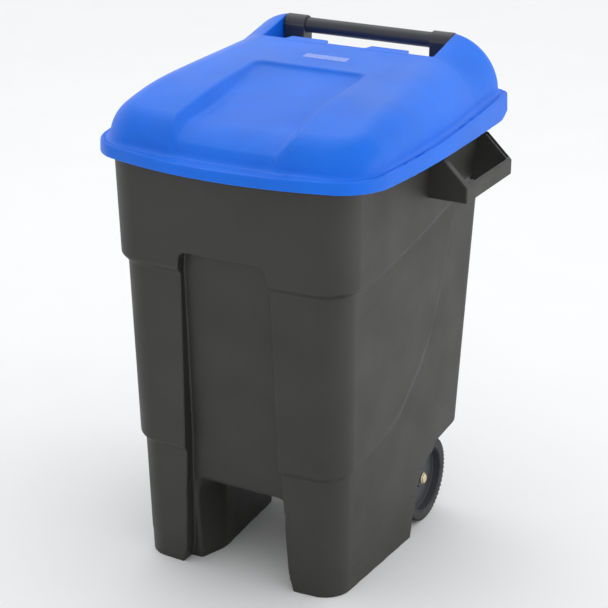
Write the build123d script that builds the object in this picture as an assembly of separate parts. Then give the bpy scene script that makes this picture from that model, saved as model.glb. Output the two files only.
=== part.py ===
from build123d import *
import math
import os

os.makedirs("parts", exist_ok=True)

# A two-wheeled bin. The front faces -Y, +X is the right-hand side seen from
# the front, and the ground is z = 0. Depths are given as distances behind the
# front edge of the lid, and depth() turns them into Y. All sizes are in mm.

# ------------------------------------------------------------ driving sizes
TOTAL_DEPTH = 602.0
LID_HALF_WIDTH = 275.0
LID_BOTTOM = 752.0
RIM_TOP = 764.0
RIM_EDGE = 12.0
HINGE_DEPTH = 573.0
HINGE_HEIGHT = 879.0
WALL = 4.0
FAR = 330.0

# tub: the innermost level of the wall, with its draft, and the two bands
FRONT_AT_GROUND = 84.0
FRONT_DRAFT = 0.048
REAR_AT_GROUND = 540.0
REAR_DRAFT = 0.05
FRONT_HALF_WIDTH = 194.0
FRONT_SIDE_DRAFT = 0.018
REAR_HALF_WIDTH = 216.0
REAR_SIDE_DRAFT = 0.03
FRONT_CORNER = 45.0
REAR_CORNER = 40.0
MIDDLE_STEP = 8.0
UPPER_STEP = 18.0
REAR_STEP_SHARE = 0.35
MIDDLE_EDGE = 236.0
UPPER_EDGE = 579.0

# front recess, channel between the runners, container floor
RECESS_TOP = 606.0
RECESS_HALF_TOP = 79.0
RECESS_HALF_FOOT = 111.0
RECESS_DEPTH_TOP = 56.0
RECESS_DEPTH_FOOT = 112.0
CHANNEL_HALF = 80.0
CHANNEL_TOP = 166.0

# wheels and axle
WHEEL_RADIUS = 80.0
WHEEL_DEPTH = 446.0
WHEEL_OUTER_FACE = 200.0
WHEEL_INNER_FACE = 154.0
TYRE_INNER = 62.0
TREAD_DEPTH = 2.5
TREAD_LUGS = 48
HUB_RADIUS = 16.0
HUB_INNER_FACE = 150.0
HUB_OUTER_FACE = 189.0
AXLE_RADIUS = 6.0
ARCH_RADIUS = 70.0
WELL_RADIUS = 90.0
WELL_INNER = 138.0
WELL_OUTER = 204.0
REAR_BOTTOM = 178.0

# handle bar, posts and hinge
BAR_RADIUS = 14.0
BAR_WALL = 3.0
BAR_END = 174.0
COLLAR_RADIUS = 17.5
POST_INNER = 126.0
POST_OUTER = 167.6
EAR_INNER = 168.2
RUNNING = 0.06

# side handles
HANDLE_FRONT = 327.0
HANDLE_REAR = 525.0
HANDLE_OUTER = 306.0
HANDLE_BOTTOM = 670.0
HANDLE_BAR_TOP = 699.0
HANDLE_SHOULDER = 741.0
HANDLE_CHEEK = 15.0
HANDLE_BAR = 5.0

# lid
LID_WALL = 3.5
SADDLE_DEPTH = 478.0
TAB_DEPTH = 494.0
LID_SWING = 122.0


def depth(distance):
    """Y of a point that lies this far behind the lid's front edge."""
    return distance - TOTAL_DEPTH / 2


def at_depths(points):
    """Turns (depth, height) pairs into (Y, Z) pairs."""
    return [(depth(d), z) for d, z in points]


def prism_x(points, half=FAR):
    """Prism along X, both ways from the middle, from (depth, height) corners."""
    outline = make_face(Polyline(*at_depths(points), close=True))
    return extrude(Plane.YZ * outline, amount=half, both=True)


def prism_y(points, start, end):
    """Prism along Y between two depths, from (x, height) corners."""
    face = make_face(Polyline(*points, close=True))
    plane = Plane(origin=(0, depth(start), 0), x_dir=(1, 0, 0), z_dir=(0, -1, 0))
    return extrude(plane * face, amount=start - end)


def rod_x(radius, x_from, x_to, d=HINGE_DEPTH, z=HINGE_HEIGHT):
    """Cylinder along X at a given depth and height."""
    plane = Plane(origin=(x_from, depth(d), z), x_dir=(0, 1, 0), z_dir=(1, 0, 0))
    return extrude(plane * Circle(radius), amount=x_to - x_from)


def block(x_from, x_to, d_from, d_to, z_from, z_to):
    """Box from its limits."""
    box = Box(x_to - x_from, d_to - d_from, z_to - z_from)
    middle = ((x_from + x_to) / 2, depth((d_from + d_to) / 2), (z_from + z_to) / 2)
    return Pos(*middle) * box


def both_sides(shape):
    """The shape and its mirror image across the middle plane."""
    return [shape, mirror(shape, Plane.YZ)]


# ------------------------------------------------------------------- the tub
def wall_plan(z, step, inset=0.0):
    """Plan outline of the tub at height z, pushed out by step, then inset all round."""
    front = depth(FRONT_AT_GROUND - FRONT_DRAFT * z - step + inset)
    rear = depth(REAR_AT_GROUND + REAR_DRAFT * z - inset)
    front_half = FRONT_HALF_WIDTH + FRONT_SIDE_DRAFT * z + step - inset
    rear_half = REAR_HALF_WIDTH + REAR_SIDE_DRAFT * z + step * REAR_STEP_SHARE - inset
    corners = [(-front_half, front), (front_half, front), (rear_half, rear), (-rear_half, rear)]
    outline = make_face(Polyline(*corners, close=True))
    front_pair = outline.vertices().sort_by(Axis.Y)[:2]
    outline = fillet(front_pair, FRONT_CORNER + 0.6 * step - inset)
    rear_pair = outline.vertices().sort_by(Axis.Y)[-2:]
    outline = fillet(rear_pair, REAR_CORNER - inset)
    return Plane.XY.offset(z) * outline


def wall_body(bottom, top, step, inset=0.0):
    """Solid inside the wall's outline between two heights."""
    return loft([wall_plan(bottom, step, inset), wall_plan(top, step, inset)])


def region_above(curve, lift):
    """Everything above a step line: level across the front, then rising to the rear."""
    sweep = [(depth(d), z + lift) for d, z in curve]
    start = (depth(-60), sweep[0][1])
    top = 900.0
    edges = [
        Line(start, sweep[0]),
        Spline(*sweep),
        Polyline(sweep[-1], (depth(700), sweep[-1][1] + 6), (depth(700), top), (depth(-60), top), start),
    ]
    outline = make_face(edges)
    return extrude(Plane.YZ * outline, amount=FAR, both=True)


def upper_region(lift=0.0):
    curve = [(120, UPPER_EDGE), (250, 590), (330, 607), (410, 640), (480, 662)]
    return region_above(curve, lift)


def middle_region(lift=0.0):
    curve = [(110, MIDDLE_EDGE), (243, 277), (313, 333), (381, 418), (412, 492), (446, 624), (452, 672)]
    return region_above(curve, lift)


def recess_cut(grow=0.0):
    """The sunk panel in the front, with rounded top corners."""
    top = RECESS_TOP + grow
    half_top = RECESS_HALF_TOP + grow
    half_foot = RECESS_HALF_FOOT + grow
    face = make_face(Polyline((-half_foot, -5), (half_foot, -5), (half_top, top), (-half_top, top), close=True))
    face = fillet(face.vertices().sort_by(Axis.Y)[-2:], 15 + grow)
    plane = Plane(origin=(0, depth(-20), 0), x_dir=(1, 0, 0), z_dir=(0, -1, 0))
    across = extrude(plane * face, amount=-160)
    panel_top = RECESS_DEPTH_TOP + grow
    panel_foot = RECESS_DEPTH_FOOT + grow
    along = prism_x([(-30, -10), (panel_foot, -10), (panel_top, top + 1), (-30, top + 1)])
    return across & along


def channel_cut():
    """The gap under the container, between the two runners."""
    half = CHANNEL_HALF
    mouth = [(-half, -10), (half, -10), (half, CHANNEL_TOP - 10), (half - 14, CHANNEL_TOP)]
    mouth += [(14 - half, CHANNEL_TOP), (-half, CHANNEL_TOP - 10)]
    return prism_y(mouth, 60, 640)


def arch_outline(radius, rear_foot):
    """Side view of the space that the wheels need, from the ground to behind the tub."""
    centre = (depth(WHEEL_DEPTH), WHEEL_RADIUS)
    foot = (depth(rear_foot), -10)
    start = (depth(WHEEL_DEPTH) - radius, WHEEL_RADIUS - 10)
    crown = (depth(WHEEL_DEPTH) - radius * 0.1, WHEEL_RADIUS + radius)
    middle = (centre[0] - radius * math.cos(math.radians(40)), centre[1] + radius * math.sin(math.radians(40)))
    behind = (depth(640), REAR_BOTTOM)
    shoulder = (depth(WHEEL_DEPTH + 20), REAR_BOTTOM - 12)
    edges = [
        Line(foot, start),
        ThreePointArc(start, middle, crown),
        Polyline(crown, shoulder, behind, (depth(640), -10), foot),
    ]
    return make_face(edges)


def wheel_cut():
    """Removes the rear foot of the walls round the wheels, and the wells inside the skirts."""
    arch = extrude(Plane.YZ * arch_outline(ARCH_RADIUS, 358), amount=FAR, both=True)
    wells = both_sides(rod_x(WELL_RADIUS, WELL_INNER, WELL_OUTER, WHEEL_DEPTH, WHEEL_RADIUS))
    return [arch] + wells


def outer_form(inset=0.0, top=RIM_TOP):
    """The tub's solid form: three nested levels, each above its own step line."""
    form = wall_body(0, top, 0, inset)
    form += wall_body(150, top, MIDDLE_STEP, inset) & middle_region(inset)
    form += wall_body(500, top, UPPER_STEP, inset) & upper_region(inset)
    return form - recess_cut(grow=inset)


def container_cavity():
    """Room for the rubbish: the outer form less one wall, from the floor out of the mouth."""
    front_floor = CHANNEL_TOP + WALL
    rear_floor = REAR_BOTTOM + WALL
    top = RIM_TOP + 5
    above = prism_x([(0, front_floor), (460, front_floor), (620, rear_floor), (620, top), (0, top)])
    return outer_form(WALL, RIM_TOP + 20) & above


def runner_cavity():
    """The hollow inside one runner, open at the ground."""
    under = wall_body(0, CHANNEL_TOP - WALL, 0, WALL) - recess_cut(grow=WALL)
    reach = block(CHANNEL_HALF + WALL, FAR, 0, 345, -5, CHANNEL_TOP - WALL)
    well = rod_x(WELL_RADIUS + WALL, WELL_INNER - WALL, FAR, WHEEL_DEPTH, WHEEL_RADIUS)
    sole = extrude(wall_plan(0, 0, WALL), amount=-5) - recess_cut(grow=WALL)
    return ((under + sole) & reach) - well


def rim_outline(inset):
    """Plan of the lid's edge: bowed front, wide in the middle, narrower behind."""
    front = depth(inset)
    rear = depth(TOTAL_DEPTH - inset)
    waist = LID_HALF_WIDTH - inset
    shoulder = 267.0 - inset
    heel = 259.0 - inset
    turn = 184.0 - inset / 3
    right = [
        ThreePointArc((0, front), (100, depth(8 + inset)), (turn, depth(25 + inset))),
        ThreePointArc((turn, depth(25 + inset)), (243 - inset * 0.75, depth(62 + inset * 0.7)), (shoulder, depth(130))),
        ThreePointArc((shoulder, depth(130)), (waist, depth(300)), (heel, depth(560))),
        ThreePointArc((heel, depth(560)), (heel - 11, rear - 10), (heel - 37, rear)),
    ]
    left = [mirror(edge, Plane.YZ) for edge in right]
    back = Line((heel - 37, rear), (37 - heel, rear))
    return make_face(right + left + [back])


def tub_rim():
    """Flange round the mouth, with a turned-down edge."""
    reach = prism_x([(0, 700), (580, 700), (580, 800), (0, 800)])
    plate = extrude(Plane.XY.offset(RIM_TOP - WALL) * rim_outline(14), amount=WALL)
    edge = extrude(Plane.XY.offset(RIM_TOP - RIM_EDGE) * rim_outline(14), amount=RIM_EDGE)
    edge -= extrude(Plane.XY.offset(RIM_TOP - RIM_EDGE - 1) * rim_outline(18), amount=RIM_EDGE + 2)
    return (plate + edge) & reach


def post():
    """Post with a collar that carries the bar, run down the rear wall as a rib."""
    r = COLLAR_RADIUS
    head = rod_x(r, POST_INNER, POST_OUTER)
    stem = [(HINGE_DEPTH - r, HINGE_HEIGHT), (HINGE_DEPTH + r, HINGE_HEIGHT)]
    stem += [(HINGE_DEPTH + r, 735), (HINGE_DEPTH - 5, 600), (HINGE_DEPTH - 30, 600)]
    stem += [(HINGE_DEPTH - 30, 700), (HINGE_DEPTH + 3.5, RIM_TOP + 6), (HINGE_DEPTH - r, RIM_TOP + 48)]
    outline = make_face(Polyline(*at_depths(stem), close=True))
    plane = Plane(origin=(POST_INNER, 0, 0), x_dir=(0, 1, 0), z_dir=(1, 0, 0))
    body = extrude(plane * outline, amount=POST_OUTER - POST_INNER)
    return head + body - rod_x(BAR_RADIUS + RUNNING, POST_INNER - 1, POST_OUTER + 1)


def side_handle():
    """Carrying handle: two cheeks and an upright bar, open above and below."""
    foot = 214.0
    cheek_side = [(foot, HANDLE_BOTTOM), (HANDLE_OUTER, HANDLE_BOTTOM), (HANDLE_OUTER, HANDLE_BAR_TOP)]
    cheek_side += [(HANDLE_OUTER - 46, HANDLE_SHOULDER), (foot, HANDLE_SHOULDER + 2)]
    front = prism_y(cheek_side, HANDLE_FRONT, HANDLE_FRONT + HANDLE_CHEEK)
    rear = prism_y(cheek_side, HANDLE_REAR - HANDLE_CHEEK, HANDLE_REAR)
    bar = block(HANDLE_OUTER - HANDLE_BAR, HANDLE_OUTER, HANDLE_FRONT, HANDLE_REAR, HANDLE_BOTTOM, HANDLE_BAR_TOP)
    return front + rear + bar


def axle_carrier():
    """Web under the floor with a boss that holds the axle beside the wheel."""
    web = [(340, 150), (345, CHANNEL_TOP + 2), (530, REAR_BOTTOM), (WHEEL_DEPTH + 22, WHEEL_RADIUS - 12)]
    web += [(WHEEL_DEPTH, WHEEL_RADIUS - 20), (WHEEL_DEPTH - 22, WHEEL_RADIUS - 12)]
    outline = make_face(Polyline(*at_depths(web), close=True))
    plane = Plane(origin=(CHANNEL_HALF, 0, 0), x_dir=(0, 1, 0), z_dir=(1, 0, 0))
    plate = extrude(plane * outline, amount=2 * WALL)
    boss = rod_x(HUB_RADIUS, CHANNEL_HALF, HUB_INNER_FACE - 3, WHEEL_DEPTH, WHEEL_RADIUS)
    bore = rod_x(AXLE_RADIUS, 0, FAR, WHEEL_DEPTH, WHEEL_RADIUS)
    return plate + boss - bore


def make_tub():
    """The tub with all that is moulded or fixed on it, clear of the lid's swing."""
    tub = outer_form() - channel_cut()
    for cut in wheel_cut():
        tub -= cut
    for runner in both_sides(runner_cavity()):
        tub -= runner
    tub += tub_rim()
    for handle in both_sides(side_handle()):
        tub += handle
    for piece in both_sides(post()):
        tub += piece
    for carrier in both_sides(axle_carrier()):
        tub += carrier
    for swing in both_sides(rod_x(LID_SWING, EAR_INNER, FAR)):
        tub -= swing
    tub -= container_cavity()
    return tub


# ------------------------------------------------------------------- the lid
def dome_plan(inset=0.0):
    """Plan of the dome where it rises from the flange."""
    front = depth(41 + inset)
    half = 256.0 - inset
    heel = 248.0 - inset
    rear = depth(TOTAL_DEPTH - 2 - inset)
    corners = [(-half, front), (half, front), (heel, rear), (-heel, rear)]
    outline = make_face(Polyline(*corners, close=True))
    outline = fillet(outline.vertices().sort_by(Axis.Y)[:2], 72 - inset)
    return fillet(outline.vertices().sort_by(Axis.Y)[-2:], 22 - inset)


def dome_form(inset=0.0):
    """Solid dome: a drafted plan, cut by the long profile and by the cross profile."""
    low = LID_BOTTOM + 14
    sections = [
        Plane.XY.offset(low - 1) * dome_plan(inset),
        Plane.XY.offset(900) * dome_plan(inset + 14),
    ]
    form = loft(sections)
    top = [(0, 792), (44, 802), (62, 817), (95, 828), (140, 838), (195, 848), (250, 855), (347, 863), (478, 874)]
    top += [(500, 878), (545, 892), (566, 897), (582, 897), (594, 891), (602, 876), (640, 740), (0, 740)]
    form &= prism_x([(d, z - inset) for d, z in top])
    flank = [(275, 740), (263, 800), (257, 830), (246, 854), (230, 873), (208, 889), (180, 898)]
    cross = flank + [(-x, z) for x, z in reversed(flank)]
    scale = 1 - inset / 200
    form &= prism_y([(x * scale, z - inset) for x, z in cross], -20, 640)
    return form


def panel_cut(grow=0.0):
    """The sunk panel on top, wider towards the front, running out over the front edge."""
    floor = [(-20, 782), (45, 803), (60, 807), (140, 821), (338, 856), (347, 864), (347, 950), (-20, 950)]
    sink = prism_x([(d, z - grow) for d, z in floor])
    half = 108.0 + grow
    flare = make_face(
        Polyline((-half - 10, depth(-20)), (half + 10, depth(-20)), (half - 4, depth(350)), (4 - half, depth(350)), close=True)
    )
    return sink & extrude(Plane.XY.offset(700) * flare, amount=300)


def pocket_cut(grow=0.0):
    """Room for the hand and the posts behind the saddle, between the two ears."""
    side = [(SADDLE_DEPTH, 910), (SADDLE_DEPTH, 855), (495, 800), (515, 772), (700, 772), (700, 910)]
    shifted = [(d - grow, z - grow) for d, z in side]
    return prism_x(shifted, EAR_INNER + grow)


def tab():
    """Short thumb tab that stands back from the saddle's edge."""
    return block(43, 116, SADDLE_DEPTH - 8, TAB_DEPTH, 866, 871)


def make_lid():
    low = LID_BOTTOM + 14
    shell = dome_form() - panel_cut() - pocket_cut()
    inner = dome_form(LID_WALL) - panel_cut(LID_WALL) - pocket_cut(LID_WALL)
    brim = [(-20, 770.5), (150, 775), (300, 779), (480, 789), (640, 801)]
    under = [(d, z - 6) for d, z in reversed(brim)]
    flange = extrude(Plane.XY.offset(LID_BOTTOM) * rim_outline(0), amount=60) & prism_x(brim + under)
    flange -= pocket_cut()
    skirt = extrude(Plane.XY.offset(LID_BOTTOM) * rim_outline(0), amount=60)
    skirt -= extrude(Plane.XY.offset(LID_BOTTOM - 1) * rim_outline(LID_WALL), amount=70)
    skirt &= prism_x(brim + [(640, 700), (-20, 700)])
    rear_rise = prism_x([(555, 700), (590, 786), (700, 786), (700, 700)])
    skirt -= rear_rise
    mouth = extrude(Plane.XY.offset(low - 10) * dome_plan(LID_WALL), amount=20)
    mouth -= pocket_cut(LID_WALL)
    lid = flange + skirt + shell - inner - mouth
    lid -= block(-EAR_INNER, EAR_INNER, HINGE_DEPTH + 4, 640, 700, 910)
    for slot in both_sides(block(POST_INNER - 1.5, EAR_INNER, HINGE_DEPTH - COLLAR_RADIUS - 2, 640, 700, 910)):
        lid -= slot
    for piece in both_sides(tab()):
        lid += piece
    lid -= rod_x(BAR_RADIUS + RUNNING, -BAR_END - 0.5, BAR_END + 0.5)
    return lid


# ---------------------------------------------------------------- handle bar
def handle_half():
    """Half of the cross bar: a tube from the middle to its end inside the lid's ear."""
    tube = rod_x(BAR_RADIUS, 0.05, BAR_END)
    return tube - rod_x(BAR_RADIUS - BAR_WALL, 0, BAR_END + 1)


def handle_joiner():
    """Spigot that joins the two halves inside the bar."""
    core = rod_x(BAR_RADIUS - BAR_WALL, -40, 40)
    return core - rod_x(BAR_RADIUS - 2 * BAR_WALL, -41, 41)


def handle_plug():
    """Plug that closes the open end of the bar."""
    return rod_x(BAR_RADIUS - BAR_WALL, BAR_END - 8, BAR_END)


# -------------------------------------------------------------------- wheels
def wheel_core():
    """Moulded wheel: rim, dished disc with eight ribs behind it, and hub."""
    middle = (WHEEL_DEPTH, WHEEL_RADIUS)
    rim = rod_x(TYRE_INNER, WHEEL_INNER_FACE, WHEEL_OUTER_FACE, *middle)
    rim -= rod_x(TYRE_INNER - 5, WHEEL_INNER_FACE - 1, WHEEL_OUTER_FACE + 1, *middle)
    disc_x = WHEEL_OUTER_FACE - 16
    disc = rod_x(TYRE_INNER - 4, disc_x - 4, disc_x, *middle)
    hub = rod_x(HUB_RADIUS, HUB_INNER_FACE, HUB_OUTER_FACE, *middle)
    core = rim + disc + hub
    centre = Pos(0, depth(WHEEL_DEPTH), WHEEL_RADIUS)
    rib = Pos(0, 0, (TYRE_INNER + HUB_RADIUS) / 2 - 2) * Box(22, 3, TYRE_INNER - HUB_RADIUS - 2)
    for turn in range(8):
        core += centre * Rot(turn * 45, 0, 0) * Pos(disc_x - 13, 0, 0) * rib
    return core - rod_x(AXLE_RADIUS + RUNNING, HUB_INNER_FACE - 1, HUB_OUTER_FACE + 1, *middle)


def tyre():
    """Tread ring with rounded shoulders and a row of lugs."""
    shoulder = 5.0
    half = (WHEEL_OUTER_FACE - WHEEL_INNER_FACE) / 2
    ring = rod_x(WHEEL_RADIUS, WHEEL_INNER_FACE, WHEEL_OUTER_FACE, WHEEL_DEPTH, WHEEL_RADIUS)
    ring = fillet(ring.edges().filter_by(GeomType.CIRCLE), shoulder)
    ring -= rod_x(TYRE_INNER, WHEEL_INNER_FACE - 1, WHEEL_OUTER_FACE + 1, WHEEL_DEPTH, WHEEL_RADIUS)
    centre = Pos(WHEEL_INNER_FACE + half, depth(WHEEL_DEPTH), WHEEL_RADIUS)
    groove = Pos(0, 0, WHEEL_RADIUS) * Box(2 * half + 2, 3, 2 * TREAD_DEPTH)
    spacing = 360 / TREAD_LUGS
    grooves = [centre * Rot((turn + 0.5) * spacing, 0, 0) * groove for turn in range(TREAD_LUGS)]
    return ring - grooves


def washer(x_from):
    """Plain washer on the axle."""
    ring = rod_x(11, x_from, x_from + 1.6, WHEEL_DEPTH, WHEEL_RADIUS)
    return ring - rod_x(AXLE_RADIUS, x_from - 1, x_from + 3, WHEEL_DEPTH, WHEEL_RADIUS)


def axle_cap(x_from):
    """Domed cap pushed on to the end of the axle."""
    dome = rod_x(11, x_from, x_from + 6, WHEEL_DEPTH, WHEEL_RADIUS)
    dome = fillet(dome.edges().filter_by(GeomType.CIRCLE).sort_by(Axis.X)[-1], 4.5)
    return dome - rod_x(AXLE_RADIUS, x_from - 1, x_from + 3, WHEEL_DEPTH, WHEEL_RADIUS)


def lid_label():
    """Blank label stuck on the saddle behind the sunk panel."""
    slope = math.degrees(math.atan2(874 - 863, 478 - 347))
    return Pos(0, depth(402), 867.9) * Rot(slope, 0, 0) * Box(84, 20, 0.4)


# -------------------------------------------------------------------- export
def save(name, shape):
    export_step(shape, "parts/" + name + ".step")


def save_pair(name, shape):
    """Writes the right-hand piece and its mirror image."""
    right, left = both_sides(shape)
    save(name + "_right", right)
    save(name + "_left", left)


WASHER = 1.6
GAP = 0.5
INNER_WASHER_AT = HUB_INNER_FACE - GAP - WASHER
OUTER_WASHER_AT = HUB_OUTER_FACE + GAP
CAP_AT = OUTER_WASHER_AT + WASHER
AXLE_END = CAP_AT + 3.0

save("tub", make_tub())
save("lid", make_lid())
save("lid_label", lid_label())
save_pair("handle_half", handle_half())
save("handle_joiner", handle_joiner())
save_pair("handle_plug", handle_plug())
save("axle", rod_x(AXLE_RADIUS, -AXLE_END, AXLE_END, WHEEL_DEPTH, WHEEL_RADIUS))
save_pair("wheel", wheel_core())
save_pair("tyre", tyre())
save_pair("inner_washer", washer(INNER_WASHER_AT))
save_pair("outer_washer", washer(OUTER_WASHER_AT))
save_pair("axle_cap", axle_cap(CAP_AT))
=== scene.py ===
import math

import bpy
import numpy as np
from mathutils import Matrix, Vector


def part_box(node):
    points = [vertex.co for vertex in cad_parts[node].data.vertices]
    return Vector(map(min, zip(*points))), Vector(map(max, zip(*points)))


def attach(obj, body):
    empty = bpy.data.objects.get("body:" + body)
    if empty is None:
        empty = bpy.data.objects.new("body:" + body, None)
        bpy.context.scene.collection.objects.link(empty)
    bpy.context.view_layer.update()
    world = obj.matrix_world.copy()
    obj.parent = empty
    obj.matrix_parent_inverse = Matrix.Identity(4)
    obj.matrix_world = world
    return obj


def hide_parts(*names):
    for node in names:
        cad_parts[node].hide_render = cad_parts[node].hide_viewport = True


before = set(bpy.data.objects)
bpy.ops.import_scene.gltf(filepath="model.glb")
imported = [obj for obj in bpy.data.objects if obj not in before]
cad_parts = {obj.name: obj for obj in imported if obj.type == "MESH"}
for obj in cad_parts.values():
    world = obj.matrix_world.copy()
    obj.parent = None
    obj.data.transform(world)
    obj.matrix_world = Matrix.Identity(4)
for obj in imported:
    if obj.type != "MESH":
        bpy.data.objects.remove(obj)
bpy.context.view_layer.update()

# Looks of a two-wheeled bin. The mouldings are described as signed distances
# in millimetres (negative inside the plastic) and turned into meshes on a
# grid. x is to the right, d is the depth behind the lid's front edge, z is up.

MM = 0.001

# ---------------------------------------------------- sizes read from the CAD
lid_low, lid_high = (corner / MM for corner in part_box("lid"))
tyre_low, tyre_high = (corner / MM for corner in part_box("tyre_right"))
bar_low, bar_high = (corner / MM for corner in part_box("handle_half_right"))
cap_low, cap_high = (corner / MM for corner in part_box("axle_cap_right"))
FRONT_Y = lid_low.y
TOTAL_DEPTH = lid_high.y - lid_low.y
LID_HALF_WIDTH = lid_high.x
LID_BOTTOM = lid_low.z
EAR_TOP = lid_high.z
HINGE_DEPTH = (bar_low.y + bar_high.y) / 2 - FRONT_Y
HINGE_HEIGHT = (bar_low.z + bar_high.z) / 2
BAR_RADIUS = (bar_high.z - bar_low.z) / 2
BAR_END = bar_high.x
WHEEL_DEPTH = (tyre_low.y + tyre_high.y) / 2 - FRONT_Y
WHEEL_RADIUS = (tyre_high.z - tyre_low.z) / 2
WHEEL_OUTER_FACE = tyre_high.x
WHEEL_INNER_FACE = tyre_low.x
CAP_BASE = cap_low.x
CAP_TOP = cap_high.x

# ----------------------------------------------------------- other main sizes
WALL = 4.5  # of the tub
LID_WALL = 5.0
RIM_TOP = 764.0  # top of the tub
RIM_INSET = 14  # of the tub's rim, inside the lid's edge
RECESS_TOP = 609.0  # of the sunk panel in the tub's front
CHANNEL_TOP = 164.0  # of the gap between the runners
HANDLE_OUTER = 306  # outer face of the side handles
POST_INNER = 126.0
POST_OUTER = 167.6
COLLAR_RADIUS = 17.5
EAR_INNER = 168.2  # inner faces of the lid's ears
SADDLE_EDGE = 478.0  # rear edge of the lid's saddle
TAB_DEPTH = 494.0  # rear edge of the lid's two tabs
LID_SWING = 122.0  # radius that the lid needs round its hinge
PANEL_REAR = 347.0  # rear edge of the panel in the dome
PANEL_HALF = 107.5  # half of that panel's width
FRONT_BOW = 7.5e-4  # how fast the lid's front edge bows back from the middle
TYRE_INNER = 62.0
DISC_DEPTH = 18  # of the wheel's disc, behind its outer face
AXLE_RADIUS = 6
LUGS = 56  # on each tyre
COARSE, MEDIUM, MIDDLE, SMALL, FINE = 2.5, 1.8, 1.25, 0.9, 0.5  # pitches of the grids


# -------------------------------------------------------- distance arithmetic
def meet(a, b, r):
    """Intersection of two solids, with convex edges rounded to radius r."""
    corner = np.hypot(np.maximum(a + r, 0), np.maximum(b + r, 0))
    return np.minimum(np.maximum(a, b), -r) + corner


def join(a, b, r):
    """Union of two solids, with concave edges filled to radius r."""
    return -meet(-a, -b, r)


def cut(a, b, r):
    """Solid a less solid b, with the new edge rounded to radius r."""
    return meet(a, -b, r)


def ramp(value, low, high):
    """0 below low and 1 above high, with a smooth rise between."""
    t = np.clip((value - low) / (high - low), 0, 1)
    return t * t * (3 - 2 * t)


def rod(p, x_low, x_high, radius, d, z):
    """Round bar along x."""
    reach = np.maximum(x_low - p[0], p[0] - x_high)
    return np.maximum(reach, np.hypot(p[1] - d, p[2] - z) - radius)


def slab(p, low, high, r=0.0):
    """Box between two corners, with rounded edges."""
    x, d, z = (np.maximum(a - v, v - b) for v, a, b in zip(p, low, high))
    return meet(meet(x, d, r), z, r)


# ------------------------------------------------------------- grid to meshes
def grid_values(field, low, high, pitch):
    """The field on a regular grid, worked out only near its surface."""
    coarse = 3
    step = pitch * coarse
    band = 1.6 * step
    counts = [int(math.ceil((b - a) / step)) for a, b in zip(low, high)]
    centres = [a + step * (np.arange(n) + 0.5) for a, n in zip(low, counts)]
    rough = field(np.meshgrid(*centres, indexing="ij")).astype(np.float32)
    near = np.abs(rough) < band
    values = rough.repeat(coarse, 0).repeat(coarse, 1).repeat(coarse, 2)
    wanted = near.repeat(coarse, 0).repeat(coarse, 1).repeat(coarse, 2)
    where = np.nonzero(wanted)
    points = [a + pitch * (i + 0.5) for a, i in zip(low, where)]
    values[where] = field(points)
    return values


def net(field, low, high, pitch):
    """Points and quads of the field's surface: one point in each cell that it crosses."""
    values = grid_values(field, low, high, pitch)
    inside = values < 0
    count = inside.astype(np.uint8)
    for axis in range(3):
        lower = [slice(None)] * 3
        upper = [slice(None)] * 3
        lower[axis] = slice(0, -1)
        upper[axis] = slice(1, None)
        count = count[tuple(lower)] + count[tuple(upper)]
    cells = np.nonzero((count > 0) & (count < 8))
    corners = [(i, j, k) for i in (0, 1) for j in (0, 1) for k in (0, 1)]
    total = np.zeros((len(cells[0]), 3))
    crossings = np.zeros(len(cells[0]))
    for a in corners:
        for axis in range(3):
            if a[axis]:
                continue
            b = list(a)
            b[axis] = 1
            first = values[tuple(c + o for c, o in zip(cells, a))]
            second = values[tuple(c + o for c, o in zip(cells, b))]
            crossed = (first < 0) != (second < 0)
            share = np.where(crossed, first / np.where(crossed, first - second, 1), 0)
            place = np.array(a, float) + np.outer(share, np.eye(3)[axis])
            total += place * crossed[:, None]
            crossings += crossed
    origin = np.array(low) + pitch * 0.5
    points = origin + pitch * (np.stack(cells, 1) + total / crossings[:, None])
    number = np.full(count.shape, -1, np.int64)
    number[cells] = np.arange(len(points))
    quads = [faces_across(inside, number, axis) for axis in range(3)]
    return points, np.concatenate(quads)


def faces_across(inside, number, axis):
    """One quad for each grid edge along an axis that passes through the surface."""
    one, two = (axis + 1) % 3, (axis + 2) % 3
    lower = [slice(1, -1)] * 3
    upper = [slice(1, -1)] * 3
    lower[axis] = slice(0, -1)
    upper[axis] = slice(1, None)
    first, second = inside[tuple(lower)], inside[tuple(upper)]
    found = []
    for leaving in (True, False):
        at = list(np.nonzero(first & ~second if leaving else ~first & second))
        at[one] = at[one] + 1
        at[two] = at[two] + 1
        ring = []
        for back_one, back_two in ((1, 1), (0, 1), (0, 0), (1, 0)):
            cell = list(at)
            cell[one] = at[one] - back_one
            cell[two] = at[two] - back_two
            ring.append(number[tuple(cell)])
        if not leaving:
            ring.reverse()
        found.append(np.stack(ring, 1))
    return np.concatenate(found)


def slope(field, points):
    """The field's gradient at some points."""
    step = 0.3
    parts = []
    for axis in range(3):
        move = np.zeros(3)
        move[axis] = step
        ahead = field(list((points + move).T))
        behind = field(list((points - move).T))
        parts.append((ahead - behind) / (2 * step))
    return np.stack(parts, 1)


def settled(field, points, pitch):
    """Points moved onto the field's surface in two short steps."""
    furthest = 0.4 * pitch
    for _ in range(2):
        gradient = slope(field, points)
        steep = np.maximum((gradient**2).sum(1), 0.25)
        move = -(field(list(points.T)) / steep)[:, None] * gradient
        points = points + np.clip(move, -furthest, furthest)
    return points


def both_halves(points, quads, pitch):
    """A half model for x over 0 and its mirror image, joined along the middle plane."""
    across = points[:, 0]
    points[(across > -0.55 * pitch) & (across < 0.5 * pitch), 0] = 0
    across = points[quads][:, :, 0]
    quads = quads[(across >= 0).all(1) & (across > 0).any(1)]
    twin = np.arange(len(points)) + len(points)
    twin[points[:, 0] == 0] = np.flatnonzero(points[:, 0] == 0)
    other = twin[quads][:, ::-1]
    return np.concatenate([points, points * (-1, 1, 1)]), np.concatenate([quads, other])


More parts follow.
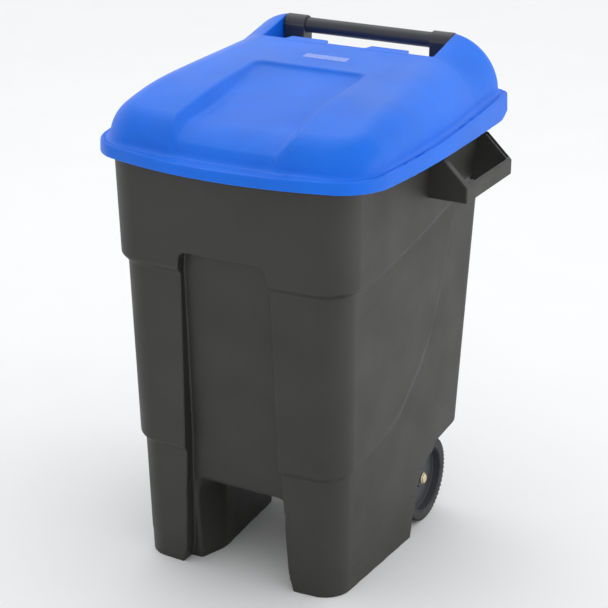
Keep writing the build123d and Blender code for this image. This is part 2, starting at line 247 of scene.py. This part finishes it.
def moulding(name, field, low, high, pitch, mirrored=False):
    """Object made from a field, between two corners of a grid.

    A mirrored one is given for x over 0 and gets its other half.
    """
    start = (-pitch,) + low[1:] if mirrored else low
    points, quads = net(field, start, high, pitch)
    points = settled(field, points, pitch)
    if not mirrored:
        return mesh_object(name, points, quads, slope(field, points))
    points, quads = both_halves(points, quads, pitch)
    normals = slope(lambda p: field([np.abs(p[0]), p[1], p[2]]), points)
    normals[points[:, 0] == 0, 0] = 0
    return mesh_object(name, points, quads, normals)


def mesh_object(name, points, quads, normals):
    """Mesh object from points in millimetres, without the points that no face uses."""
    used = np.unique(quads)
    renumber = np.full(len(points), -1)
    renumber[used] = np.arange(len(used))
    quads = renumber[quads]
    placed = (points[used] + (0, FRONT_Y, 0)) * MM
    mesh = bpy.data.meshes.new(name)
    mesh.from_pydata(placed.tolist(), [], quads.tolist())
    mesh.polygons.foreach_set("use_smooth", np.ones(len(mesh.polygons), bool))
    picked = normals[used]
    length = np.linalg.norm(picked, axis=1, keepdims=True)
    picked = picked / np.maximum(length, 1e-6)
    mesh.normals_split_custom_set_from_vertices(picked.tolist())
    mesh.update()
    made = bpy.data.objects.new(name, mesh)
    bpy.context.scene.collection.objects.link(made)
    return made


# ------------------------------------------------------------- outlines shared
def rim_plan(p, inset=0.0):
    """Plan of the lid's edge: bowed front, widest in the middle, narrower behind."""
    x, d = np.abs(p[0]), p[1]
    widest, front_corner, rear_corner = 300, 50, 12
    front = (FRONT_BOW * x**2 - d + inset) / np.sqrt(1 + (2 * FRONT_BOW * x) ** 2)
    bend = np.where(d < widest, 2.7e-4, 0.9e-4)
    side = x - (LID_HALF_WIDTH - inset - bend * (d - widest) ** 2)
    rear = d - (TOTAL_DEPTH - inset)
    return meet(meet(front, side, front_corner - inset), rear, max(rear_corner - inset, 2))


# -------------------------------------------------------------------- the lid
def crown(d):
    """Height of the dome's top along its length, without the ears."""
    return 855 + 0.083 * (d - 250) - 6.1e-4 * np.maximum(250 - d, 0) ** 2


def ridge(d):
    """Height of the dome with the ears, which climb to the bar."""
    past = np.maximum(d - 470, 0)
    ease = 14
    climb = 0.157 * (past - ease * (1 - np.exp(-past / ease)))
    return np.minimum(crown(d) + climb * 1.12, EAR_TOP - 0.6)


def flange_height(d):
    """Height of the lid's flange, which climbs towards the rear."""
    return 771 + 0.026 * d + 11 * np.clip((d - 300) / 300, 0, 2) ** 1.3


def dome(p):
    """The dome: a narrower plan with soft shoulders, higher behind, and a steep rear."""
    x, d, z = np.abs(p[0]), p[1], p[2]
    half_width = 258 - 1.6e-4 * (d - 310) ** 2 + 6 * ramp(d, 470, 600)
    side = x - half_width + 0.06 * (z - 780)
    front = (36 + 2.5e-4 * x**2 - d + 0.14 * (z - 770)) * 0.98
    rear = d - (TOTAL_DEPTH - 3) + 0.10 * (z - 780)
    roll = 46 + 44 * ramp(d, 60, 560)
    shoulder = meet(meet(front, side, 66), z - ridge(d), roll)
    return meet(shoulder, rear, 16)


def panel(p):
    """The sunk panel on the dome, which runs out over its front."""
    x, d, z = np.abs(p[0]), p[1], p[2]
    sunk = crown(d) - z
    spread = 6 * ramp(200 - d, 0, 160)
    side = (x - PANEL_HALF - spread + sunk) * 0.707
    rear = (d - PANEL_REAR + 0.8 * sunk) * 0.78
    floor = 806 + 0.178 * (d - 60) - 0.0042 * np.maximum(112 - d, 0) ** 2
    return meet(meet(side, rear, 12), floor - z, 4)


def pocket(p):
    """Room for the hand and the posts, behind the saddle and between the ears."""
    x, d, z = np.abs(p[0]), p[1], p[2]
    wall = SADDLE_EDGE + np.interp(z, [772, 800, 860], [36, 17, 0])
    return meet(meet(wall - d, 772 - z, 8), x - EAR_INNER, 1.5)


def lid_solid(p):
    """Outside of the lid as if it were solid below."""
    x, d, z = np.abs(p[0]), p[1], p[2]
    rim = rim_plan(p)
    hollow = dome(p)
    bead = 2.4 * np.exp(-(((rim + 5.5) / 3.4) ** 2))
    groove = 1.6 * ramp(hollow, 8.2, 9.2)
    lip = ramp(150 - x, 0, 50) * ramp(60 - d, 0, 30)
    top = flange_height(d) + bead - groove - 1.5 * lip
    flange = meet(rim + 0.05 * (z - LID_BOTTOM), z - top, 2.6 + 4 * lip)
    crest = cut(hollow, panel(p), 3 + 20 * ramp(70 - d, 0, 40))
    return cut(join(flange, crest, 8), pocket(p), 2.5)


def lid_field(p):
    """The hollow lid with its two tabs and the slots for the posts and the bar."""
    x, d, z = np.abs(p[0]), p[1], p[2]
    solid = lid_solid(p)
    lower_edge = LID_BOTTOM + 12 * ramp(d, 560, 600)
    shell = meet(cut(solid, solid + LID_WALL, 0.6), lower_edge - z, 1.2)
    beyond = (EAR_INNER, 700, 950)
    behind = slab(p, (-1, HINGE_DEPTH + 4, 700), beyond)
    slot = slab(p, (POST_INNER - 1.5, HINGE_DEPTH - COLLAR_RADIUS - 2, 700), beyond)
    shell = cut(cut(shell, behind, 1), slot, 1)
    taper = np.maximum(43 - x, x - 116) + 0.35 * (d - TAB_DEPTH)
    tab = meet(meet(taper, d - TAB_DEPTH, 3), np.abs(z - crown(d) + 2.2) - 2, 1.2)
    tab = np.maximum(tab, SADDLE_EDGE - 10 - d)
    shell = join(shell, tab, 1.5)
    bore = rod(p, -1, BAR_END + 0.5, BAR_RADIUS + 0.1, HINGE_DEPTH, HINGE_HEIGHT)
    return cut(shell, bore, 0.6)


# -------------------------------------------------------------------- the tub
def upper_line(d):
    """Height of the lower edge of the top band along the side."""
    return 581 + 62 * np.clip((d - 130) / 290, 0, 2) ** 1.35


def middle_line(d):
    """Height of the lower edge of the middle band, which climbs steeply behind."""
    at = [0, 61, 100, 166, 243, 284, 315, 352, 385, 414, 433, 451, 470]
    up = [240, 240, 243, 252, 276, 298, 331, 366, 413, 486, 558, 620, 720]
    return np.interp(d, at, up)


def wall_solid(p):
    """Outside of the tub's walls as a solid block: drafted, with two stepped bands."""
    x, d, z = np.abs(p[0]), p[1], p[2]
    front_depth, rear_depth = 84, 540
    upper = ramp(z - upper_line(d), -18, 0)
    climb = 1 + 1.4 * ramp(d, 190, 320)
    middle = ramp((z - middle_line(d)) / climb, -16, 0)
    foot = 0.8 * ramp(z, 41, 43)
    step = 8 * middle + 10 * upper + foot
    bow = 2.0e-4 * x**2 - 2
    front = front_depth + bow - 0.048 * z - step - d
    half_front = 194 + 0.018 * z + step
    half_rear = 216 + 0.03 * z + 0.45 * step
    share = np.clip((d - front_depth) / (rear_depth - front_depth), 0, 1.2)
    side = x - (half_front + (half_rear - half_front) * share)
    rear = d - (rear_depth + 0.05 * z)
    corner = 43 + 0.6 * step
    return meet(meet(front, side, corner), rear, 40)


def recess(p):
    """The sunk panel in the tub's front."""
    x, d, z = np.abs(p[0]), p[1], p[2]
    half = np.interp(z, [0, 34, 102, 170, 258, 577, 606], [111, 103, 99, 96, 91, 84, 81])
    floor = d - (112 - 0.0924 * z)
    return meet(meet(x - half, z - RECESS_TOP, 14), floor, 3)


def under_floor(d):
    """Height of the container's floor, seen from below."""
    return CHANNEL_TOP + 14 * ramp(d, 340, 540)


def channel(p):
    """The gap between the two runners, under the container."""
    x, d, z = np.abs(p[0]), p[1], p[2]
    at = [100, 115, 140, 160, 170, 183, 267, 354, 640]
    wide = [92, 87.7, 79.7, 73.4, 72.1, 72.8, 78.8, 84, 95]
    half = np.interp(d, at, wide)
    ceiling = under_floor(d) - 2
    return meet(x - half, z - ceiling, 24)


def wheel_room(p):
    """Space round the wheels: the arch in the walls and the wells inside the skirts."""
    x, d, z = np.abs(p[0]), p[1], p[2]
    foot_end = 361 + 0.17 * z
    foot = meet(foot_end - d, z - 84, 0)
    arch = np.hypot(d - WHEEL_DEPTH, z - WHEEL_RADIUS) - 69
    behind = meet(436 - d, z - (164 + 0.17 * (d - 450)), 8)
    well = rod([x, d, z], 138, 204, 90, WHEEL_DEPTH, WHEEL_RADIUS)
    return np.minimum(join(np.minimum(foot, arch), behind, 4), well)


def tub_solid(p):
    """Outside of the tub as if it were solid."""
    solid = cut(wall_solid(p), recess(p), 2.5)
    solid = cut(solid, channel(p), 6 + 8 * ramp(p[2], 110, 160))
    return cut(solid, wheel_room(p), 2)


def tub_field(p):
    """The hollow tub: walls, floor and a turned-down rim, cleared where the lid swings."""
    x, d, z = np.abs(p[0]), p[1], p[2]
    solid = tub_solid(p)
    floor = np.abs(z - under_floor(d) - WALL / 2) - WALL / 2
    room = np.maximum(solid + WALL, -floor)
    shell = cut(solid, room, 1)
    shell = meet(meet(shell, z - RIM_TOP, 1), -z, 1)
    plan = rim_plan(p, RIM_INSET)
    behind = d - 580
    plate = np.abs(z - RIM_TOP + WALL / 2) - WALL / 2
    plate = meet(meet(plan, plate, 1.5), behind, 1)
    half_edge = 5
    edge = meet(np.abs(plan + WALL / 2) - WALL / 2, np.abs(z - RIM_TOP + half_edge) - half_edge, 1)
    rim = np.minimum(plate, np.maximum(edge, behind))
    shell = join(shell, np.maximum(rim, -(solid + WALL)), 2)
    swing = rod([x, d, z], EAR_INNER, 400, LID_SWING, HINGE_DEPTH, HINGE_HEIGHT)
    return cut(shell, swing, 1)


def handle_field(p):
    """Carrying handle: two cheeks joined by an upright bar."""
    x, d, z = p
    front, rear, bottom = 327, 525, 670
    top = np.interp(x, [214, 260, HANDLE_OUTER], [743, 741, 697])
    block = meet(meet(x - HANDLE_OUTER, z - top, 2), bottom - z, 2)
    block = meet(block, np.maximum(front - d, d - rear), 2.5)
    gusset_foot = 653 + np.maximum(x - 284, 0)
    gusset = np.maximum(gusset_foot - z, z - bottom - 2)
    gusset = meet(np.maximum(rear - 14 - d, d - rear + 1), gusset, 1)
    block = join(block, meet(gusset, x - HANDLE_OUTER + 6, 1), 1)
    hole = np.maximum(front + 15 - d, d - rear + 15)
    hole = meet(meet(hole, x - HANDLE_OUTER + 5, 3), 232 - x, 1)
    groove = meet(np.abs(d - 517.5) - 3.5, top - 5 - z, 0.8)
    groove = meet(groove, x - HANDLE_OUTER + 6, 0.8)
    return cut(cut(block, hole, 1.5), groove, 0.8)


def post_field(p):
    """Post with a collar that holds the bar."""
    x, d, z = p
    side = np.maximum(POST_INNER - x, x - POST_OUTER)
    foot = 600
    front = np.interp(z, [foot, 700, 770, 812, 880], [543, 543, 568, 555.5, 555.5])
    rear = np.interp(z, [foot, 735, 880], [568, 590.5, 590.5])
    stem = meet(meet(front - d, d - rear, 4), z - HINGE_HEIGHT, 0)
    stem = meet(meet(stem, side, 2.5), foot - z, 2)
    around = np.hypot(d - HINGE_DEPTH, z - HINGE_HEIGHT)
    collar = meet(around - COLLAR_RADIUS, side, 2)
    bore = around - BAR_RADIUS - 0.1
    return cut(join(stem, collar, 3), bore, 0.5)


def carrier_field(p):
    """Web under the floor with the boss that holds the axle."""
    x, d, z = p
    inner, web_outer, boss_outer = 80, 88, 147
    lower = np.interp(d, [340, 424, 446, 468, 530], [150, 68, 60, 68, 178])
    web = meet(np.maximum(inner - x, x - web_outer), np.maximum(lower - z, z - 174), 2)
    web = meet(web, np.maximum(340 - d, d - 532), 1)
    around = np.hypot(d - WHEEL_DEPTH, z - WHEEL_RADIUS)
    boss = meet(around - 16, np.maximum(inner - x, x - boss_outer), 1.5)
    return cut(join(web, boss, 4), around - AXLE_RADIUS - 0.05, 0.5)


# -------------------------------------------------------------- bar and wheels
def bar_field(p):
    """Cross bar: two tubes that meet in a fine seam, closed by sunk plugs."""
    x, d, z = np.abs(p[0]), p[1], p[2]
    around = np.hypot(d - HINGE_DEPTH, z - HINGE_HEIGHT) - BAR_RADIUS
    seam = 0.5 * np.exp(-((x / 0.7) ** 2))
    ring = 0.5 * np.exp(-(((x - POST_INNER + 4) / 1.2) ** 2))
    dimple = rod([x, d, z], BAR_END - 2, BAR_END + 9, BAR_RADIUS - 3, HINGE_DEPTH, HINGE_HEIGHT)
    solid = meet(around + seam - ring, x - BAR_END, 1)
    return np.maximum(solid, -dimple)


def wheel_field(p):
    """Moulded wheel: deep dish, hub and eight ribs on its inner side."""
    x, d, z = p
    y, w = d - WHEEL_DEPTH, z - WHEEL_RADIUS
    around = np.hypot(y, w)
    inner, outer = WHEEL_INNER_FACE, WHEEL_OUTER_FACE
    flare = TYRE_INNER - 1.4 - 0.16 * (outer - x)
    band = meet(np.maximum(inner - x, x - outer), around - TYRE_INNER, 0.8)
    dish = around - np.where(x > outer - DISC_DEPTH, flare, TYRE_INNER - 5)
    band = cut(band, np.maximum(dish, -1), 1)
    disc = np.maximum(np.abs(x - outer + DISC_DEPTH) - 2, around - TYRE_INNER + 1)
    hub = meet(around - 16, np.maximum(inner - 4 - x, x - outer + 11), 1.2)
    apart = 2 * math.pi / 8
    off = np.abs((np.arctan2(w, y) / apart) % 1 - 0.5) * apart
    across = around * np.sin(apart / 2 - off)
    reach = np.maximum(around - TYRE_INNER + 2, np.abs(x - outer + 30) - 11)
    rib = np.maximum(np.abs(across) - 1.6, reach)
    form = join(join(join(band, disc, 3), hub, 3), rib, 1)
    return cut(form, around - AXLE_RADIUS - 0.1, 0.4)


def tyre_field(p):
    """Tread ring with rounded shoulders, a row of fine lugs and a groove round the middle."""
    x, d, z = p
    y, w = d - WHEEL_DEPTH, z - WHEEL_RADIUS
    around = np.hypot(y, w)
    lug_height, groove_depth, groove_half = 3.8, 1.5, 1.2
    side = np.maximum(WHEEL_INNER_FACE - x, x - WHEEL_OUTER_FACE)
    ring = meet(around - WHEEL_RADIUS, side, 2)
    turn = np.arctan2(w, y) * LUGS / (2 * math.pi)
    between = np.abs(turn % 1 - 0.5) * 2
    gap = np.maximum(WHEEL_RADIUS - lug_height - around, (between - 0.46) * 4.5)
    middle = np.abs(x - (WHEEL_INNER_FACE + WHEEL_OUTER_FACE) / 2) - groove_half
    groove = np.maximum(WHEEL_RADIUS - groove_depth - around, middle)
    ring = cut(cut(ring, gap, 0.3), groove, 0.5)
    bead = 0.7 * np.exp(-(((around - TYRE_INNER - 4) / 1.4) ** 2))
    return np.maximum(np.maximum(ring, side + bead), TYRE_INNER + 0.2 - around)


def cap_field(p):
    """Pressed cap with a shallow dome and a thin brim."""
    x, d, z = p
    around = np.hypot(d - WHEEL_DEPTH, z - WHEEL_RADIUS)
    brim = meet(around - 11, x - CAP_BASE - 1.6, 0.7)
    crest = meet(around - 9.2, x - CAP_TOP + 0.018 * around**2, 2.2)
    return np.maximum(join(brim, crest, 1), CAP_BASE - x)


def label_field(p):
    """Thin blank film that lies on the saddle."""
    x, d, z = np.abs(p[0]), p[1], p[2]
    half_width, half_depth, half_thickness = 42, 10, 0.3
    sheet = meet(x - half_width, np.abs(d - 402) - half_depth, 2)
    return np.maximum(sheet, np.abs(z - crown(d) - 0.1) - half_thickness)


# ------------------------------------------------------------------- materials
def linear(red, green, blue):
    """Linear colour with alpha from 0 to 255 display values."""
    def one(v):
        v = v / 255
        return v / 12.92 if v <= 0.04045 else ((v + 0.055) / 1.055) ** 2.4
    return (one(red), one(green), one(blue), 1)


class Nodes:
    """Short way to add and join nodes in one material."""

    def __init__(self, name):
        self.material = bpy.data.materials.new(name)
        self.material.use_nodes = True
        self.tree = self.material.node_tree
        self.shader = self.tree.nodes["Principled BSDF"]
        self.place = self.add("ShaderNodeTexCoord").outputs["Object"]

    def add(self, kind, **values):
        node = self.tree.nodes.new(kind)
        for key, value in values.items():
            setattr(node, key, value)
        return node

    def link(self, source, target):
        self.tree.links.new(source, target)

    def noise(self, scale, detail=3.0, stretch=(1, 1, 1), rough=0.55):
        mapping = self.add("ShaderNodeMapping")
        mapping.inputs["Scale"].default_value = stretch
        self.link(self.place, mapping.inputs["Vector"])
        node = self.add("ShaderNodeTexNoise")
        node.inputs["Scale"].default_value = scale
        node.inputs["Detail"].default_value = detail
        node.inputs["Roughness"].default_value = rough
        self.link(mapping.outputs["Vector"], node.inputs["Vector"])
        return node.outputs["Fac"]

    def range(self, source, low, high, to_low=0.0, to_high=1.0):
        node = self.add("ShaderNodeMapRange")
        limits = {"From Min": low, "From Max": high, "To Min": to_low, "To Max": to_high}
        for key, value in limits.items():
            node.inputs[key].default_value = value
        self.link(source, node.inputs["Value"])
        return node.outputs["Result"]

    def mix(self, share, first, second):
        node = self.add("ShaderNodeMix", data_type="RGBA")
        for value, key in ((share, 0), (first, 6), (second, 7)):
            if isinstance(value, (tuple, float)):
                node.inputs[key].default_value = value
            else:
                self.link(value, node.inputs[key])
        return node.outputs[2]

    def maths(self, operation, first, second):
        node = self.add("ShaderNodeMath", operation=operation)
        for key, value in enumerate((first, second)):
            if isinstance(value, (int, float)):
                node.inputs[key].default_value = value
            else:
                self.link(value, node.inputs[key])
        return node.outputs[0]

    def bump(self, layers):
        """Bump from (height, strength, distance) layers."""
        normal = None
        for height, strength, distance in layers:
            node = self.add("ShaderNodeBump")
            node.inputs["Strength"].default_value = strength
            node.inputs["Distance"].default_value = distance
            self.link(height, node.inputs["Height"])
            if normal is not None:
                self.link(normal, node.inputs["Normal"])
            normal = node.outputs["Normal"]
        self.link(normal, self.shader.inputs["Normal"])


def plastic(name, colour, pale, roughness, spread, grain, grain_size, scuffs, sheen=0.5):
    """Moulded plastic: clouded colour, moulded grain, faint scuffs, paler worn edges."""
    n = Nodes(name)
    cloud = n.range(n.noise(5, 4), 0.3, 0.7)
    darker = tuple(0.86 * c for c in colour[:3]) + (1,)
    lighter = tuple(min(1.12 * c, 1) for c in colour[:3]) + (1,)
    base = n.mix(cloud, darker, lighter)
    speck = n.range(n.noise(grain_size * 0.6, 2), 0.62, 0.78, 0, 0.16)
    base = n.mix(speck, base, pale)
    marks = n.range(n.noise(26, 8, (1, 1, 7), 0.7), 0.66, 0.76, 0, scuffs)
    streaks = n.range(n.noise(34, 8, (6, 1, 1), 0.7), 0.68, 0.78, 0, scuffs)
    marks = n.maths("MAXIMUM", marks, streaks)
    base = n.mix(marks, base, pale)
    edge = n.add("ShaderNodeNewGeometry").outputs["Pointiness"]
    patchy = n.range(n.noise(90, 5), 0.35, 0.6)
    worn = n.maths("MULTIPLY", n.range(edge, 0.53, 0.60, 0, 0.30), patchy)
    base = n.mix(worn, base, pale)
    n.link(base, n.shader.inputs["Base Color"])
    rough = n.range(n.noise(9, 5), 0.3, 0.7, roughness - spread, roughness + spread)
    rough = n.maths("ADD", rough, n.maths("MULTIPLY", marks, 0.5))
    n.link(rough, n.shader.inputs["Roughness"])
    n.shader.inputs["Specular IOR Level"].default_value = sheen
    fine = n.noise(grain_size, 3)
    wavy = n.noise(14, 2)
    n.bump([(wavy, 0.10, 0.004), (fine, grain, 0.0004)])
    return n.material


def rubber(name):
    """Dull black tyre with dust in its low places."""
    n = Nodes(name)
    dust = n.range(n.noise(60, 6), 0.45, 0.7, 0, 0.5)
    low = n.add("ShaderNodeNewGeometry").outputs["Pointiness"]
    hollow = n.range(low, 0.5, 0.44, 0, 0.5)
    share = n.maths("MINIMUM", n.maths("ADD", n.maths("MULTIPLY", dust, 0.4), hollow), 1)
    n.link(n.mix(share, linear(44, 44, 46), linear(86, 84, 80)), n.shader.inputs["Base Color"])
    n.link(n.range(n.noise(40, 4), 0.3, 0.7, 0.62, 0.85), n.shader.inputs["Roughness"])
    n.bump([(n.noise(400, 4), 0.3, 0.0005)])
    return n.material


def metal(name, colour, dull, roughness):
    """Plated steel: brushed rings, dull patches and small pits."""
    n = Nodes(name)
    patch = n.range(n.noise(120, 6), 0.4, 0.68)
    n.link(n.mix(patch, colour, dull), n.shader.inputs["Base Color"])
    rough = n.range(n.noise(300, 4), 0.3, 0.7, roughness - 0.08, roughness + 0.14)
    n.link(rough, n.shader.inputs["Roughness"])
    n.shader.inputs["Metallic"].default_value = 1.0
    n.bump([(n.noise(900, 3), 0.15, 0.0002)])
    return n.material


def film(name):
    """Blank film, slightly mottled and scuffed."""
    n = Nodes(name)
    wear = n.range(n.noise(160, 6), 0.45, 0.7)
    n.link(n.mix(wear, linear(118, 148, 226), linear(96, 132, 226)), n.shader.inputs["Base Color"])
    n.link(n.range(n.noise(80, 4), 0.3, 0.7, 0.3, 0.5), n.shader.inputs["Roughness"])
    n.bump([(n.noise(220, 3), 0.2, 0.0003)])
    return n.material


def paint(piece, material):
    """Gives an object one material."""
    piece.data.materials.clear()
    piece.data.materials.append(material)


# -------------------------------------------------------------------- assembly
def place(piece, body, nodes, slot, material):
    """Puts a piece on its body, in place of its CAD nodes, with its finish."""
    paint(piece, material)
    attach(piece, body)
    if nodes:
        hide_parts(*nodes)


TUB = plastic(
    "tub_grey", linear(41, 40, 37), linear(86, 85, 80),
    roughness=0.52, spread=0.07, grain=0.35, grain_size=1400, scuffs=0.16,
)
LID = plastic(
    "lid_blue", linear(0, 106, 226), linear(120, 172, 246),
    roughness=0.42, spread=0.05, grain=0.16, grain_size=900, scuffs=0.10, sheen=0.28,
)
BAR = plastic(
    "bar_black", linear(52, 53, 58), linear(110, 112, 118),
    roughness=0.42, spread=0.06, grain=0.30, grain_size=1600, scuffs=0.20,
)
WHEEL = plastic(
    "wheel_grey", linear(50, 52, 57), linear(120, 122, 128),
    roughness=0.50, spread=0.07, grain=0.30, grain_size=1500, scuffs=0.20,
)
TYRE = rubber("tyre_rubber")
CAP = metal("cap_zinc", linear(226, 214, 180), linear(176, 160, 122), 0.30)
STEEL = metal("steel_zinc", linear(200, 202, 204), linear(150, 150, 150), 0.34)
FILM = film("label_film")


def build_bin():
    """The pieces that span the middle plane, and then the pairs."""
    tub = moulding("tub_moulding", tub_field, (0, 20, -5), (262, 612, 770), COARSE, mirrored=True)
    place(tub, "bin", ["tub"], "tub_plastic", TUB)
    lid = moulding("lid_moulding", lid_field, (0, -6, 746), (282, 610, 902), MEDIUM, mirrored=True)
    place(lid, "lid", ["lid"], "lid_plastic", LID)
    bar = moulding("cross_bar", bar_field, (0, 556, 862), (176, 590, 896), MIDDLE, mirrored=True)
    hidden = ["handle_half_right", "handle_half_left", "handle_joiner"]
    hidden += ["handle_plug_right", "handle_plug_left"]
    place(bar, "bin", hidden, "bar_plastic", BAR)
    label = moulding("saddle_label", label_field, (0, 388, 864), (46, 416, 872), FINE, mirrored=True)
    place(label, "lid", ["lid_label"], "label", FILM)
    for side, sign in (("right", 1), ("left", -1)):
        build_side(side, sign)


def build_side(side, sign):
    """The pieces that come in pairs; the left ones are mirror images."""
    def turned(field):
        return lambda p: field([sign * p[0], p[1], p[2]])

    def make(name, field, low, high, pitch):
        if sign < 0:
            low, high = (-high[0],) + low[1:], (-low[0],) + high[1:]
        return moulding(name + "_" + side, turned(field), low, high, pitch)

    handle = make("side_handle", handle_field, (212, 322, 648), (309, 530, 748), MIDDLE)
    place(handle, "bin", [], "tub_plastic", TUB)
    post = make("hinge_post", post_field, (122, 538, 596), (171, 596, 900), MIDDLE)
    place(post, "bin", [], "tub_plastic", BAR)
    carrier = make("axle_carrier", carrier_field, (77, 336, 56), (150, 536, 178), MIDDLE)
    place(carrier, "bin", [], "tub_plastic", TUB)
    wheel = make("wheel_disc", wheel_field, (147, 382, 16), (203, 510, 144), MIDDLE)
    place(wheel, "wheel_" + side, ["wheel_" + side], "wheel_plastic", WHEEL)
    tyre = make("tread_ring", tyre_field, (151, 364, -2), (203, 528, 162), SMALL)
    place(tyre, "wheel_" + side, ["tyre_" + side], "tyre", TYRE)
    cap = make("hub_cap", cap_field, (189, 433, 67), (200, 459, 93), FINE)
    place(cap, "bin", ["axle_cap_" + side], "cap_metal", CAP)


# ------------------------------------------------------------ stage and camera
def make_floor():
    """Plain pale floor, wide enough to fill every view."""
    reach = 40.0
    mesh = bpy.data.meshes.new("floor")
    corners = [(-reach, -reach, 0), (reach, -reach, 0), (reach, reach, 0), (-reach, reach, 0)]
    mesh.from_pydata(corners, [], [(0, 1, 2, 3)])
    floor = bpy.data.objects.new("floor", mesh)
    bpy.context.scene.collection.objects.link(floor)
    n = Nodes("floor_paper")
    shade, pale = (0.86, 0.86, 0.86, 1), (0.90, 0.90, 0.90, 1)
    n.link(n.mix(n.noise(3, 3), shade, pale), n.shader.inputs["Base Color"])
    n.shader.inputs["Roughness"].default_value = 0.9
    paint(floor, n.material)


def area_light(name, spot, target, size, power):
    """Round soft light at a spot, turned to its target."""
    light = bpy.data.lights.new(name, "AREA")
    light.shape = "DISK"
    light.size = size
    light.energy = power
    lamp = bpy.data.objects.new(name, light)
    lamp.location = spot
    toward = Vector(target) - Vector(spot)
    lamp.rotation_euler = toward.to_track_quat("-Z", "Y").to_euler()
    bpy.context.scene.collection.objects.link(lamp)


def make_lights():
    """A studio that is bright behind and above, and dimmer on the camera's side."""
    world = bpy.data.worlds.new("studio")
    bpy.context.scene.world = world
    world.use_nodes = True
    nodes, links = world.node_tree.nodes, world.node_tree.links
    direction = nodes.new("ShaderNodeTexCoord")
    parts = nodes.new("ShaderNodeSeparateXYZ")
    bright = nodes.new("ShaderNodeMapRange")
    limits = {"From Min": -0.9, "From Max": 0.9, "To Min": 0.80, "To Max": 1.25}
    for key, value in limits.items():
        bright.inputs[key].default_value = value
    links.new(direction.outputs["Generated"], parts.inputs["Vector"])
    links.new(parts.outputs["Y"], bright.inputs["Value"])
    background = nodes["Background"]
    background.inputs["Color"].default_value = (0.98, 0.99, 1.0, 1)
    links.new(bright.outputs["Result"], background.inputs["Strength"])
    middle = (0, 0, 0.4)
    area_light("right_wall", (3.4, 0.6, 1.0), middle, size=2.4, power=20)
    area_light("overhead", (-0.9, 0.9, 3.6), middle, size=2.6, power=14)


def make_camera():
    """Camera at the photograph's angle, front right and a little above."""
    azimuth, elevation, roll = (math.radians(v) for v in (27.85, 21.25, 0.45))
    aim = Vector((0.01853, -0.0089, 0.4491))
    distance = 3.22204
    level = math.cos(elevation)
    back = Vector((math.sin(azimuth) * level, -math.cos(azimuth) * level, math.sin(elevation)))
    right = Vector((math.cos(azimuth), math.sin(azimuth), 0))
    up = back.cross(right)
    side = math.cos(roll) * right + math.sin(roll) * up
    top = math.cos(roll) * up - math.sin(roll) * right
    camera = bpy.data.cameras.new("camera")
    camera.sensor_width = 36
    camera.lens = 107.95
    camera.clip_end = 200
    eye = bpy.data.objects.new("camera", camera)
    turn = Matrix((side, top, back)).transposed().to_4x4()
    eye.matrix_world = Matrix.Translation(aim + distance * back) @ turn
    bpy.context.scene.collection.objects.link(eye)
    bpy.context.scene.camera = eye


def finish_cad_nodes():
    """The small steel pieces keep their CAD shape and get a plated finish."""
    washers = [kind + "_washer_" + side for kind in ("inner", "outer") for side in ("right", "left")]
    for name in ["axle"] + washers:
        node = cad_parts[name]
        paint(node, STEEL)
        bevel = node.modifiers.new("soft_edge", "BEVEL")
        bevel.width = 0.0003
        bevel.segments = 2


build_bin()
finish_cad_nodes()
make_floor()
make_lights()
make_camera()
bpy.context.scene.view_settings.view_transform = "Standard"
